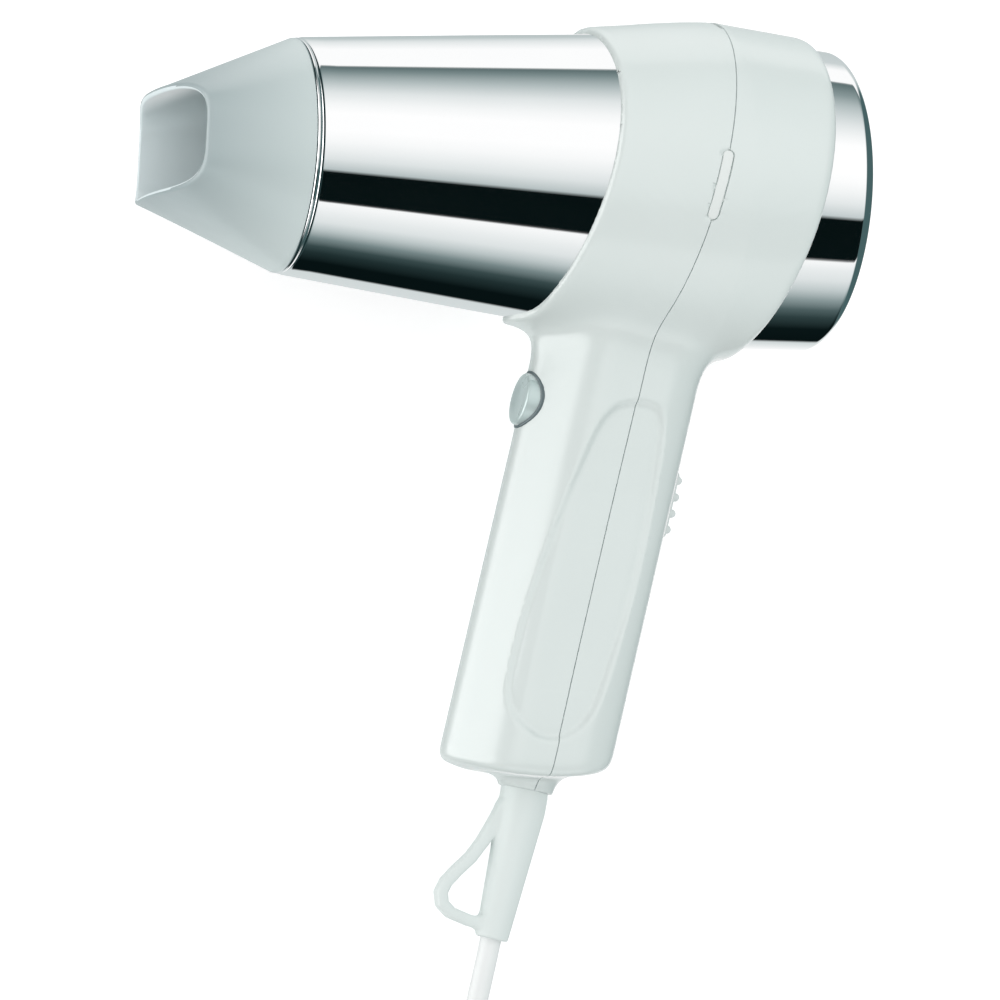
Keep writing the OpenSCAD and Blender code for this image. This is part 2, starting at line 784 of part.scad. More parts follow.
module clamp_screws() {
    color("silver") for (s = [-1, 1]) {
        towards_rear(clamp_u - 7, s * clamp_screw_y, clamp_d)
            cylinder(h = clamp_depth + 7, r = clamp_screw_r);
        towards_rear(clamp_u + clamp_depth, s * clamp_screw_y, clamp_d) cylinder(h = 1.8, r = 2.4);
    }
}

loop_w = 4.4;
module strain_relief() {
    flange_d = handle_end_d - 8;
    color("whitesmoke") {
        at_handle(seam_u, 0, relief_end_d) rotate_extrude() polygon([
            [0, 0], [relief_end_r - 0.6, 0], [relief_end_r, 0.8], [6.1, relief_len * 0.55],
            [7, relief_len - 1.5], [6.6, relief_len], [neck_r, relief_len],
            [neck_r, relief_end_d - flange_d - 4], [7.5, relief_end_d - flange_d - 4],
            [7.5, relief_end_d - flange_d], [0, relief_end_d - flange_d]
        ]);
        handle() translate([seam_u, 0, -relief_end_d]) rotate([90, 0, 0])
            linear_extrude(loop_w, center = true) hanging_loop();
    }
}

// The loop at the front of the strain relief, x towards the rear and y up from the relief's lower end
module hanging_loop() {
    tip = [-16.8, relief_len * 0.2];
    knee = [-15.8, relief_len * 0.12];
    bar([-4.5, relief_len * 0.8], [-7.6, relief_len * 0.6], 1.7);
    bar([-7.6, relief_len * 0.6], tip, 1.7);
    bar(tip, knee, 1.9);
    bar(knee, [-2.5, relief_len * 0.06], 1.9);
}

// ---------- cord, given as it lies on the surface ----------

cord_route = [
    [11.6, -127.6, 9.4], [11.2, -130, 8.9], [9.8, -138, 7.3], [7.8, -149, 5.2], [6, -160, 3.8],
    [4.5, -172, 3.4], [3.3, -184, 3.6], [2.5, -194, 3.8]
];
coil_centre = [-40, -200];
coil_r = 33.2;
coil_columns = 4;
coil_layers = 2;
coil_pitch = 6.2;
coil_base = 0.8;
coil_height = coil_pitch + 2 * cord_r;
tail_route = [[-36, -242.4, 10.2], [-48, -242.5, 9.6], [-58, -242.5, 8.6], [-66, -242.5, 8.2]];

module cord_tube() {
    color("white") {
        sweep(smooth(cord_route, 3), cord_r, 10);
        sweep(smooth(tail_route, 3), cord_r, 10);
    }
}

module cord_coil() {
    half = (coil_columns - 1) / 2 * coil_pitch + cord_r;
    color("white") translate([coil_centre[0], coil_centre[1], coil_base]) rotate_extrude()
        translate([coil_r - half, 0]) square([2 * half, coil_height]);
}

module cord_tie() {
    half = (coil_columns - 1) / 2 * coil_pitch + cord_r + loose;
    tie_t = 0.7;
    tie_w = 8;
    room = coil_height + 0.2;
    color("gray") translate([coil_centre[0], coil_centre[1], 0.1]) rotate(160) translate([coil_r, 0, 0])
        difference() {
            translate([-half - tie_t, -tie_w / 2, 0]) cube([2 * (half + tie_t), tie_w, room + 2 * tie_t]);
            translate([-half, -tie_w, tie_t]) cube([2 * half, 2 * tie_w, room]);
        }
}

plug_x = -66;
plug_y = -242.5;
plug_z = 8.2;
plug_gland = 20;
plug_body_len = 32;
plug_half_w = 17.6;
plug_half_t = 8;
pin_r = 2.4;
pin_len = 19;
pin_pitch = 19;
pin_root_r = 1.8;
pin_root_len = 8;

module plug_body() {
    front_x = -plug_gland - plug_body_len;
    color("white") translate([plug_x, plug_y, plug_z]) {
        rotate([0, -90, 0]) difference() {
            rotate_extrude()
                polygon([[0, 0], [cord_r + 1.2, 0], [6.2, plug_gland + 4], [0, plug_gland + 4]]);
            translate([0, 0, -1]) cylinder(h = 1 + tiny, r = cord_r);
        }
        difference() {
            translate([front_x, 0, 0]) linear_extrude(2 * plug_half_t, center = true) polygon([
                [0, -plug_half_w], [10, -plug_half_w], [plug_body_len, -9], [plug_body_len, 9],
                [10, plug_half_w], [0, plug_half_w]
            ]);
            for (s = [-1, 1]) translate([front_x - 1, s * pin_pitch / 2, 0]) rotate([0, 90, 0])
                cylinder(h = 1 + pin_root_len, r = pin_root_r);
        }
    }
}

module plug_pins() {
    front_x = plug_x - plug_gland - plug_body_len;
    color("silver") for (s = [-1, 1])
        translate([front_x - pin_len, plug_y + s * pin_pitch / 2, plug_z]) rotate([0, 90, 0]) {
            cylinder(h = pin_len, r = pin_r);
            cylinder(h = pin_len + pin_root_len, r = pin_root_r);
        }
}

lay() nozzle();
lay() front_ring();
lay() front_tube();
lay() outlet_grille();
lay() heater_sleeve();
lay() heater_boards();
lay() heating_wire();
lay() thermostat();
lay() thermal_fuse();
lay() fan_housing();
lay() motor_can();
lay() motor_magnets();
lay() motor_endcap();
lay() motor_bushes();
lay() armature();
lay() motor_shaft();
lay() impeller();
lay() rear_cap();
lay() inlet_filter();
lay() inlet_grille();
lay() front_shell();
lay() rear_shell();
lay() seam_clips();
lay() shell_screws();
lay() button_bezel();
lay() push_button();
lay() switch_plunger();
lay() button_spring();
lay() micro_switch();
lay() switch_plate();
lay() slide_knob();
lay() slide_switch();
lay() circuit_board();
lay() terminal_block();
lay() lead_wires();
lay() inner_cable();
lay() cord_clamp();
lay() clamp_screws();
lay() strain_relief();
cord_tube();
cord_coil();
cord_tie();
plug_body();
plug_pins();
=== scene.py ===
"""A hair dryer lying on its side on a pale floor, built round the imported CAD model.

Shapes are worked out upright, in millimetres: x along the barrel from the tube mouth to the rear,
z up and the handle hanging down. place() lays them on the floor in the row's frame, in metres.
"""

import math

import bpy
import numpy as np
from mathutils import Matrix, Vector


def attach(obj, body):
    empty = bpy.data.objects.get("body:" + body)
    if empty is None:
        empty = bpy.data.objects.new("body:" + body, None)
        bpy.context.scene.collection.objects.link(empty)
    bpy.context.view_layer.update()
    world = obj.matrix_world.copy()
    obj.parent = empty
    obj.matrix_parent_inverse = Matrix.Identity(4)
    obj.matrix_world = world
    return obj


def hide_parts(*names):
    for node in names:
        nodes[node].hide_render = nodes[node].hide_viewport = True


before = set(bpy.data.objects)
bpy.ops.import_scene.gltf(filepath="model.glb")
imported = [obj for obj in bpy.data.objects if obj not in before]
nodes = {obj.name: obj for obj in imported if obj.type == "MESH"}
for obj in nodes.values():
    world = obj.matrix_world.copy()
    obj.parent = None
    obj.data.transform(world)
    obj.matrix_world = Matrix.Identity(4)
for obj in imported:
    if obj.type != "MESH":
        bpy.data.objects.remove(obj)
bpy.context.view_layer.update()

MM = 0.001

# ---------- driving sizes, in millimetres and degrees ----------

NOZZLE_LEN = 38.0
TUBE_MOUTH_R = 33.0
TUBE_LEN = 92.0
TAPER = 9.4 / TUBE_LEN
TUBE_WALL = 1.2
COLLAR_R = 48.3
CAP_X = 133.0
CAP_END_X = 159.5
CAP_R = 43.3
CAP_TAPER = 0.05
CAP_ROUND = 4.0
INLET_R = 30.5
SHELL_WALL = 2.4
HANDLE_X = 109.0
HANDLE_DROP = 167.0
HANDLE_WIDTH = 38.0
HANDLE_DEPTH = 47.5
HANDLE_LEAN = math.radians(10.8)
SEAM_U = 3.1
BUTTON_D = 68.6
BUTTON_R = 7.5
SWITCH_D = 87.0
SCREW_DS = (54.0, 112.42, 136.42)
RELIEF_D = 174.92
RELIEF_END_D = 217.92
CORD_R = 3.0

# ---------- the frame the dryer lies in ----------

FOOT = HANDLE_DROP - 4.5
TILT = math.asin(COLLAR_R / math.hypot(FOOT, HANDLE_WIDTH / 2)) - math.atan2(HANDLE_WIDTH / 2, FOOT)
MID_X = (CAP_END_X - NOZZLE_LEN - 2) / 2
RELIEF_LOW = RELIEF_END_D * math.cos(HANDLE_LEAN) + (SEAM_U + 4.8) * math.sin(HANDLE_LEAN)
MID_Y = (COLLAR_R - RELIEF_LOW * math.cos(TILT)) / 2
LAY = Matrix((
    (1, 0, 0, -MID_X),
    (0, math.sin(TILT), math.cos(TILT), -MID_Y),
    (0, -math.cos(TILT), math.sin(TILT), COLLAR_R),
    (0, 0, 0, 1),
))


def place(points):
    """Upright points in millimetres, as points of the row's frame in metres."""
    turn = np.array(LAY.to_3x3())
    return (np.asarray(points, float) @ turn.T + np.array(LAY.translation)) * MM


def from_handle(u, y, d):
    """A point u behind the handle's axis and d down it, upright."""
    return (
        HANDLE_X + u * math.cos(HANDLE_LEAN) - d * math.sin(HANDLE_LEAN),
        y,
        -u * math.sin(HANDLE_LEAN) - d * math.cos(HANDLE_LEAN),
    )


def add_object(name, data, mirrored=False):
    """A new object in the scene. Unless it is mirrored, reflections don't show it."""
    made = bpy.data.objects.new(name, data)
    bpy.context.scene.collection.objects.link(made)
    made.visible_glossy = mirrored
    return made


# ---------- camera ----------


def make_camera():
    """The photograph's view: 18 degrees off the dryer's side, 3 from below, and rolled by 3.

    The distance and the shifts are in millimetres, and the scale is the lens for each unit of
    distance in metres.
    """
    yaw, pitch, roll = (math.radians(a) for a in (18.333, -3.0, 2.845))
    distance, shift_x, shift_y, scale = 1400.0, -59.219, 95.691, 3.598
    ahead = Vector((
        math.sin(yaw) * math.cos(pitch), math.cos(yaw) * math.cos(pitch), -math.sin(pitch)))
    level = Vector((math.cos(yaw), -math.sin(yaw), 0))
    over = level.cross(ahead)
    right = level * math.cos(roll) + over * math.sin(roll)
    up = over * math.cos(roll) - level * math.sin(roll)
    eye = -(right * shift_x + up * shift_y + ahead * distance)
    data = bpy.data.cameras.new("camera")
    data.sensor_width = 36.0
    data.lens = scale * distance / 1000 * data.sensor_width
    data.clip_start, data.clip_end = 0.05, 20
    camera = add_object("camera", data)
    turn = LAY.to_3x3() @ Matrix((right, up, -ahead)).transposed()
    spot = (LAY @ eye) * MM
    camera.matrix_world = Matrix.Translation(spot) @ turn.to_4x4()
    bpy.context.scene.camera = camera


make_camera()

# ---------- materials ----------


class Shader:
    """One material's node tree, with short calls for the nodes that the finishes share."""

    def __init__(self, name):
        self.material = bpy.data.materials.new(name)
        self.material.use_nodes = True
        self.tree = self.material.node_tree
        self.bsdf = self.tree.nodes["Principled BSDF"]
        self.coords = self.tree.nodes.new("ShaderNodeTexCoord").outputs["Object"]

    def node(self, kind, **inputs):
        made = self.tree.nodes.new(kind)
        for key, value in inputs.items():
            self.put(made.inputs[key.replace("_", " ")], value)
        return made

    def put(self, socket, value):
        if isinstance(value, bpy.types.NodeSocket):
            self.tree.links.new(value, socket)
        else:
            socket.default_value = value

    def noise(self, scale, detail=3.0):
        made = self.node("ShaderNodeTexNoise", Vector=self.coords, Scale=scale, Detail=detail)
        return made.outputs["Fac"]

    def wave(self, scale, distortion):
        made = self.node(
            "ShaderNodeTexWave", Vector=self.coords, Scale=scale, Distortion=distortion)
        return made.outputs["Fac"]

    def between(self, factor, low, high):
        made = self.node("ShaderNodeMapRange", Value=factor)
        made.inputs["To Min"].default_value = low
        made.inputs["To Max"].default_value = high
        return made.outputs[0]

    def calculate(self, kind, operation, first, second, output):
        made = self.tree.nodes.new(kind)
        made.operation = operation
        self.put(made.inputs[0], first)
        self.put(made.inputs[1], second)
        return made.outputs[output]

    def mix(self, factor, first, second):
        made = self.tree.nodes.new("ShaderNodeMix")
        made.data_type = "RGBA"
        self.put(made.inputs["Factor"], factor)
        for key, colour in (("A", first), ("B", second)):
            self.put(made.inputs[key], (*colour, 1) if isinstance(colour, tuple) else colour)
        return made.outputs["Result"]

    def bump(self, height, strength, distance):
        made = self.node("ShaderNodeBump", Height=height, Strength=strength, Distance=distance)
        self.put(self.bsdf.inputs["Normal"], made.outputs[0])

    def set(self, **inputs):
        for key, value in inputs.items():
            self.put(self.bsdf.inputs[key.replace("_", " ")], value)


def plastic(name, colour, rough=0.32, grain=0.25, tint=0.03, coat=0.0, metallic=0.0):
    """Moulded plastic: a fine grain, a slow change of gloss and a slight unevenness of colour."""
    s = Shader(name)
    shade = tuple(c * (1 - tint) for c in colour)
    s.set(Base_Color=s.mix(s.noise(55, 4), colour, shade))
    s.set(Roughness=s.between(s.noise(140, 5), rough - 0.05, rough + 0.07))
    s.set(Specular_IOR_Level=0.5, Coat_Weight=coat, Coat_Roughness=0.15, Metallic=metallic)
    s.bump(s.noise(4200, 2), grain, 0.00003)
    return s.material


def metal(name, colour, rough):
    """Metal with a faint mottle."""
    s = Shader(name)
    mottle = s.noise(700, 4)
    dark = tuple(c * 0.9 for c in colour)
    s.set(Base_Color=s.mix(mottle, colour, dark), Metallic=1.0)
    s.set(Roughness=s.between(mottle, rough * 0.75, rough * 1.3))
    s.bump(mottle, 0.1, 0.00002)
    return s.material


def chrome(name):
    """Bright plating: a mirror with a slow haze from handling."""
    s = Shader(name)
    haze = s.noise(38, 3)
    s.set(Base_Color=s.mix(haze, (0.985, 0.99, 0.99), (0.955, 0.965, 0.97)), Metallic=1.0)
    s.set(Roughness=s.between(s.noise(90, 5), 0.012, 0.05))
    return s.material


def plastic_with_painted_light(name, near_outlet, near_tube, inside_outlet, inside_tube):
    """The nozzle's plastic: darker towards the outlet as painted shade, and lighter inside.

    The lighter tone is painted light, standing for light that comes through the wall; painted
    shade darkens the inner faces deeper in, towards the tube. A face is an inner one when its
    normal points at the barrel's axis.
    """
    s = Shader(name)
    parts = s.node("ShaderNodeSeparateXYZ", Vector=s.coords)
    along = s.node("ShaderNodeMapRange", Value=parts.outputs["X"])
    outlet_x, tube_x = place([(-NOZZLE_LEN, 0, 0), (0, 0, 0)])[:, 0]
    along.inputs["From Min"].default_value = outlet_x
    along.inputs["From Max"].default_value = tube_x
    on_axis = place([(0, 0, 0)])[0]
    vector = "ShaderNodeVectorMath"
    from_axis = s.calculate(vector, "SUBTRACT", s.coords, on_axis, "Vector")
    flat = s.calculate(vector, "MULTIPLY", from_axis, (0, 1, 1), "Vector")
    normal = s.tree.nodes.new("ShaderNodeNewGeometry").outputs["True Normal"]
    facing = s.calculate(vector, "DOT_PRODUCT", flat, normal, "Value")
    inward = s.calculate("ShaderNodeMath", "LESS_THAN", facing, 0.0, "Value")
    # painted shade: darker towards the outlet outside and towards the tube inside; painted light:
    # lighter inner faces
    outside = s.mix(along.outputs[0], near_outlet, near_tube)
    inside = s.mix(along.outputs[0], inside_outlet, inside_tube)
    s.set(Base_Color=s.mix(inward, outside, inside))
    s.set(Roughness=s.between(s.noise(140, 5), 0.28, 0.42))
    s.set(Specular_IOR_Level=0.5, Coat_Weight=0.1, Coat_Roughness=0.15)
    s.bump(s.noise(4200, 2), 0.3, 0.00003)
    return s.material


def fabric(name, colour):
    """A woven band or mesh."""
    s = Shader(name)
    dark = tuple(c * 0.6 for c in colour)
    s.set(Base_Color=s.mix(s.wave(900, 1.5), colour, dark))
    s.set(Roughness=s.between(s.noise(600), 0.75, 0.95))
    s.bump(s.noise(2500), 0.6, 0.0002)
    return s.material


def windings(name):
    """Enamelled copper wire, wound side by side."""
    s = Shader(name)
    wires = s.wave(1500, 0.6)
    s.set(Base_Color=s.mix(wires, (0.75, 0.3, 0.12), (0.35, 0.1, 0.04)), Metallic=0.9)
    s.set(Roughness=s.between(s.noise(500), 0.25, 0.4))
    s.bump(wires, 0.5, 0.0002)
    return s.material


WHITE = (0.668, 0.732, 0.716)
finishes = {
    "white_plastic": plastic("white_plastic", WHITE, 0.3, 0.2, coat=0.6),
    # the nozzle's gradients are painted shade, and its lighter inner faces are painted light
    "nozzle_plastic": plastic_with_painted_light(
        "nozzle_plastic", near_outlet=(0.34, 0.41, 0.42), near_tube=(0.56, 0.635, 0.63),
        inside_outlet=(0.77, 0.86, 0.875), inside_tube=(0.52, 0.60, 0.61)),
    "relief_rubber": plastic("relief_rubber", (0.70, 0.765, 0.75), 0.45, 0.4),
    "cord_pvc": plastic("cord_pvc", (0.80, 0.83, 0.825), 0.38, 0.3),
    "chrome": chrome("chrome"),
    "button_silver": plastic(
        "button_silver", (0.56, 0.67, 0.66), 0.28, 0.2, tint=0.04, coat=0.6, metallic=0.2),
    # the ring round the button is near-black grey: painted shadow of the gap round the button
    "bezel_grey": plastic("bezel_grey", (0.11, 0.15, 0.16), 0.3, 0.2),
    "switch_white": plastic("switch_white", (0.68, 0.73, 0.72), 0.36, 0.25),
    "clip_white": plastic("clip_white", (0.72, 0.765, 0.75), 0.3, 0.15),
    "dark_plastic": plastic("dark_plastic", (0.03, 0.032, 0.035), 0.42, 0.5),
    "grille_plastic": plastic("grille_plastic", (0.10, 0.11, 0.115), 0.4, 0.5),
    "grey_plastic": plastic("grey_plastic", (0.33, 0.36, 0.38), 0.42, 0.5),
    "mica": plastic("mica", (0.62, 0.50, 0.34), 0.35, 0.6, tint=0.35),
    "heating_alloy": metal("heating_alloy", (0.45, 0.42, 0.40), 0.35),
    "steel": metal("steel", (0.62, 0.62, 0.63), 0.25),
    "magnet": metal("magnet", (0.10, 0.10, 0.11), 0.5),
    "bronze": metal("bronze", (0.62, 0.40, 0.20), 0.35),
    "windings": windings("windings"),
    "board_green": plastic("board_green", (0.03, 0.16, 0.06), 0.3, 0.3, tint=0.2, coat=0.4),
    "lead_insulation": plastic("lead_insulation", (0.45, 0.04, 0.03), 0.4, 0.2),
    "tie_grey": fabric("tie_grey", (0.38, 0.40, 0.42)),
    "plated_pins": metal("plated_pins", (0.86, 0.84, 0.80), 0.14),
    "filter_grey": fabric("filter_grey", (0.35, 0.36, 0.37)),
}


def finish_cad_nodes():
    """Every CAD node takes the finish of the slot that its plain material is named after."""
    for made in nodes.values():
        made.visible_glossy = False
        for slot in made.material_slots:
            slot.material = finishes[slot.material.name]


finish_cad_nodes()

# ---------- mesh helpers ----------


def add_mesh(name, points, faces, finish, body, stands_for, angle=35.0, mirrored=False):
    """A mesh piece from upright points, smooth but for edges sharper than the angle.

    The bright metal mirrors the studio alone, and only the pieces marked mirrored besides.
    """
    data = bpy.data.meshes.new(name)
    data.from_pydata(place(points).tolist(), [], [list(f) for f in faces])
    data.validate()
    data.materials.append(finishes[finish])
    data.polygons.foreach_set("use_smooth", [True] * len(data.polygons))
    data.set_sharp_from_angle(angle=math.radians(angle))
    made = add_object(name, data, mirrored)
    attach(made, body)
    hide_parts(*stands_for)


def rings_to_mesh(rings):
    """Points and quads of a surface through rings of equal length, the last joined to the first."""
    count, around = len(rings), len(rings[0])
    faces = []
    for i in range(count):
        j = (i + 1) % count
        for k in range(around):
            n = (k + 1) % around
            faces.append((i * around + k, i * around + n, j * around + n, j * around + k))
    return np.concatenate(rings), faces


def lathe(profile, sides=192):
    """A closed profile of (x, r) turned about the barrel's axis."""
    turns = np.linspace(0, 2 * math.pi, sides, endpoint=False)
    circle = np.stack([np.cos(turns), np.sin(turns)], -1)
    rings = [np.column_stack([np.full(sides, x), r * circle]) for x, r in profile]
    return rings_to_mesh(rings)


def arc(cx, cr, radius, start, end, steps):
    """Points (x, r) on an arc, with its angles in degrees from the +x direction."""
    angles = np.radians(np.linspace(start, end, steps + 1))
    return [(cx + radius * math.cos(a), cr + radius * math.sin(a)) for a in angles]


# ---------- distance fields, for the shapes that blend into each other ----------


def soft_min(a, b, k):
    h = np.maximum(k - np.abs(a - b), 0) / k
    return np.minimum(a, b) - h * h * h * k / 6


def soft_max(a, b, k):
    return -soft_min(-a, -b, k)


def round_box(a, b, half_a, half_b, corner):
    """Distance to a rectangle with round corners, in the plane of a and b."""
    qa, qb = np.abs(a) - half_a + corner, np.abs(b) - half_b + corner
    outside = np.hypot(np.maximum(qa, 0), np.maximum(qb, 0))
    return outside + np.minimum(np.maximum(qa, qb), 0) - corner


def to_line(a, b, start, end):
    """Distance to a straight stretch, in the plane of a and b."""
    da, db = end[0] - start[0], end[1] - start[1]
    t = np.clip(((a - start[0]) * da + (b - start[1]) * db) / (da * da + db * db), 0, 1)
    return np.hypot(a - start[0] - t * da, b - start[1] - t * db)


def to_outline(a, b, outline):
    """Signed distance to a closed outline, in the plane of a and b: negative inside."""
    nearest = np.full(np.broadcast(a, b).shape, 1e9)
    inside = np.zeros(nearest.shape, bool)
    for (a0, b0), (a1, b1) in zip(outline, outline[1:] + outline[:1]):
        nearest = np.minimum(nearest, to_line(a, b, (a0, b0), (a1, b1)))
        spans = (b0 > b) != (b1 > b)
        inside ^= spans & (a < a0 + (b - b0) / (b1 - b0 if b1 != b0 else 1e-9) * (a1 - a0))
    return np.where(inside, -nearest, nearest)


def between_points(a, b, c, d, t):
    """The Catmull-Rom curve from b (t = 0) to c (t = 1), with its neighbours a and d."""
    return (2 * b + (c - a) * t + (2 * a - 5 * b + 4 * c - d) * t ** 2
            + (3 * b - 3 * c + d - a) * t ** 3) / 2


def smooth_outline(points, steps):
    """A closed curve through the points."""
    out, n = [], len(points)
    p = [np.array(q, float) for q in points]
    for i in range(n):
        near = p[i - 1], p[i], p[(i + 1) % n], p[(i + 2) % n]
        out += [tuple(between_points(*near, k / steps)) for k in range(steps)]
    return out


HALVINGS = 5
SLOPE_REACH = 0.02
CENTRE_PULL = 0.03


def contour(field, low, high, step):
    """Points and quads where field(x, y, z) is zero, with its sharp edges kept.

    This is dual contouring. The surface's crossing of each grid edge is found by HALVINGS, its
    normal there is measured over SLOPE_REACH, and each cell's point is the one nearest to all the
    tangent planes in it, with a weak pull to the middle of its crossings.
    """
    axes = [np.arange(a, b + step, step) for a, b in zip(low, high)]
    size = [len(a) for a in axes]
    values = field(axes[0][:, None, None], axes[1][None, :, None], axes[2][None, None, :])
    inside = values < 0
    spots, normals, cells = [], [], []
    for axis in range(3):
        ahead = [slice(None)] * 3
        behind = [slice(None)] * 3
        ahead[axis], behind[axis] = slice(1, None), slice(None, -1)
        crossing = np.argwhere(inside[tuple(ahead)] != inside[tuple(behind)])
        others = [a for a in range(3) if a != axis]
        keep = np.ones(len(crossing), bool)
        for a in others:
            keep &= (crossing[:, a] > 0) & (crossing[:, a] < size[a] - 1)
        crossing = crossing[keep]
        after = crossing.copy()
        after[:, axis] += 1
        v0, v1 = values[tuple(crossing.T)], values[tuple(after.T)]
        share = v0 / (v0 - v1)
        spot = np.stack([axes[a][crossing[:, a]] for a in range(3)], -1).astype(float)
        start = spot[:, axis].copy()
        lower, upper = np.zeros(len(spot)), np.ones(len(spot))
        for _ in range(HALVINGS):
            spot[:, axis] = start + share * step
            same = (field(*spot.T) < 0) == (v0 < 0)
            lower, upper = np.where(same, share, lower), np.where(same, upper, share)
            share = (lower + upper) / 2
        spot[:, axis] = start + share * step
        slope = np.stack([
            field(*(spot + e).T) - field(*(spot - e).T) for e in SLOPE_REACH * np.eye(3)
        ], -1)
        slope /= np.maximum(np.linalg.norm(slope, axis=1, keepdims=True), 1e-9)
        first, second = others
        around = []
        for da, db in ((-1, -1), (0, -1), (0, 0), (-1, 0)):
            cell = crossing.copy()
            cell[:, first] += da
            cell[:, second] += db
            around.append(np.ravel_multi_index(cell.T, size))
        around = np.stack(around, -1)
        flip = (v0 < 0) == (axis == 1)
        around[flip] = around[flip][:, ::-1]
        spots.append(spot)
        normals.append(slope)
        cells.append(around)
    spot, normal, quad = np.concatenate(spots), np.concatenate(normals), np.concatenate(cells)
    used, quad = np.unique(quad, return_inverse=True)
    quad = quad.reshape(-1, 4)
    count = len(used)
    flat = quad.ravel()

    def gather(x):
        return np.bincount(flat, weights=np.repeat(x, 4), minlength=count)

    total = gather(np.ones(len(spot)))
    centre = np.stack([gather(spot[:, a]) for a in range(3)], -1) / total[:, None]
    pull = CENTRE_PULL * total
    square = np.zeros((count, 3, 3))
    right = np.zeros((count, 3))
    along = np.einsum("ij,ij->i", normal, spot)
    for a in range(3):
        right[:, a] = gather(normal[:, a] * along) + pull * centre[:, a]
        for b in range(3):
            square[:, a, b] = gather(normal[:, a] * normal[:, b])
        square[:, a, a] += pull
    solved = np.linalg.solve(square, right[..., None])[..., 0]
    solved = centre + np.clip(solved - centre, -step, step)
    return solved, quad


# ---------- the casing ----------


def tube_r(x):
    return TUBE_MOUTH_R + TAPER * x


def cap_r_at(x):
    return CAP_R + CAP_TAPER * (CAP_END_X - CAP_ROUND - x)


def handle_coords(x, z):
    u = (x - HANDLE_X) * math.cos(HANDLE_LEAN) - z * math.sin(HANDLE_LEAN)
    d = -(x - HANDLE_X) * math.sin(HANDLE_LEAN) - z * math.cos(HANDLE_LEAN)
    return u, d


FRONT_EDGE_X, FRONT_EDGE_TOP = 84.9, 29
REAR_EDGE_X, REAR_EDGE_TOP = 148.9, 45
TONGUE_LEN, TONGUE_HALF_W = 4.2, 9
RIDGE_X = 121.6
LEAST_STEP = 1.9


def front_edge_x(y, z):
    """Where the collar's front edge lies, which droops, with a tongue forward under the tube."""
    droop = 0.011 * np.abs(FRONT_EDGE_TOP - z) ** 1.7
    tongue = TONGUE_LEN * np.exp(-(y / TONGUE_HALF_W) ** 2) * (z < 0)
    return FRONT_EDGE_X - droop - tongue


def rear_edge_x(z):
    """Where the collar's rear edge lies, which leans forward below its top."""
    return REAR_EDGE_X - 0.00435 * np.maximum(REAR_EDGE_TOP - z, 0) ** 1.81


def collar_outline(x):
    """The collar's radius: widest at its ridge, and always a step wider than the tube."""
    ahead = 0.0319 * np.maximum(RIDGE_X - x, 0) ** 1.405
    behind = 0.073 * np.maximum(x - RIDGE_X, 0)
    least = tube_r(np.minimum(x, TUBE_LEN)) + LEAST_STEP
    return soft_max(COLLAR_R - ahead - behind, least, 1.5)


# The flat grip panel: its outline as offsets from a leaning line down the handle, and heights
GRIP = smooth_outline([
    (-0.5, -62.0), (6, -61.5), (11.5, -64.5), (14.5, -76), (16.2, -108), (14.8, -134.5),
    (12.0, -151), (5.5, -158.2), (-2, -159.2), (-8.5, -156), (-13.6, -150.5), (-15.8, -141),
    (-15.2, -118), (-12.2, -92), (-8.4, -71.5), (-4.8, -64.6)
], 4)
GRIP_X, GRIP_LEAN = 109.2, 0.191
GRIP_MIDDLE, GRIP_HALF_LEN = -110.5, 50.0
GRIP_Y, GRIP_BOW = 17.2, 1.2
GRIP_DIP, GRIP_EDGE = 1.2, 2.6
NOSE_R = 9.0
NECK_R = 7.4
FOOT_X, FOOT_Z = 79, -168.6


def handle_field(x, y, z):
    """The handle: a broad rear part and a narrow nose, a bowed foot, a neck and the grip panels."""
    u, d = handle_coords(x, z)
    rear_part = round_box(u - 2.35, y, 21.4, HANDLE_WIDTH / 2, 14.5)
    nose = np.hypot(u + HANDLE_DEPTH / 2 - NOSE_R, y) - NOSE_R
    section = soft_min(rear_part, nose, 9)
    foot = FOOT_Z + 0.0052 * (x - FOOT_X) ** 2 - z
    body = soft_max(section, foot, 6)
    neck = soft_max(np.hypot(u - SEAM_U, y) - NECK_R, d - 174.9, 1.5)
    body = soft_min(body, neck, 9)
    panel_y = GRIP_Y + GRIP_BOW * np.abs((z - GRIP_MIDDLE) / GRIP_HALF_LEN) ** 3
    share = np.clip(-to_outline(x - GRIP_X - GRIP_LEAN * z, z, GRIP) / GRIP_EDGE, 0, 1)
    share = share * share * (3 - 2 * share)
    return soft_max(body + GRIP_DIP * share, np.abs(y) - panel_y - 3 * (1 - share), 1.0)


def casing_outside(x, y, z):
    """The collar and the handle blended together, cut off where the floor is."""
    r = np.hypot(y, z)
    collar = r - collar_outline(x)
    collar = soft_max(collar, front_edge_x(y, z) - x, 3.2)
    collar = soft_max(collar, x - rear_edge_x(z), 4.5)
    handle = np.maximum(handle_field(x, y, z), z + 20)
    below_floor = y * math.cos(TILT) - z * math.sin(TILT) - COLLAR_R
    return np.maximum(soft_min(collar, handle, 13), below_floor)


def towards_rear(x, y, z, at_d):
    """Distance from a line through the handle from front to rear, and how far back along it."""
    u, d = handle_coords(x, z)
    return np.hypot(d - at_d, y), u


CLIP_LEN, CLIP_W, CLIP_D = 19.5, 2.8, 2.6
CLIP_INNER_Y = 30


def clip_field(x, y, z):
    """The capsule outline on the seam, seen from the side (0 * y gives it the grid's shape)."""
    u, d = handle_coords(x, z)
    reach = (CLIP_LEN - CLIP_W) / 2
    off_end = np.maximum(np.abs(d - CLIP_D) - reach, 0)
    return np.hypot(u - SEAM_U, off_end) - CLIP_W / 2 + 0 * y


BARREL_GAP = 0.06
BOSS_R, BOSS_HALF_LEN = 5, 22.5
SCREW_HOLE_R, SCREW_HOLE_U = 3.2, 19.05
BUTTON_GAP, BUTTON_HOLE_U = 0.9, -17
SWITCH_HOLE_U = 17


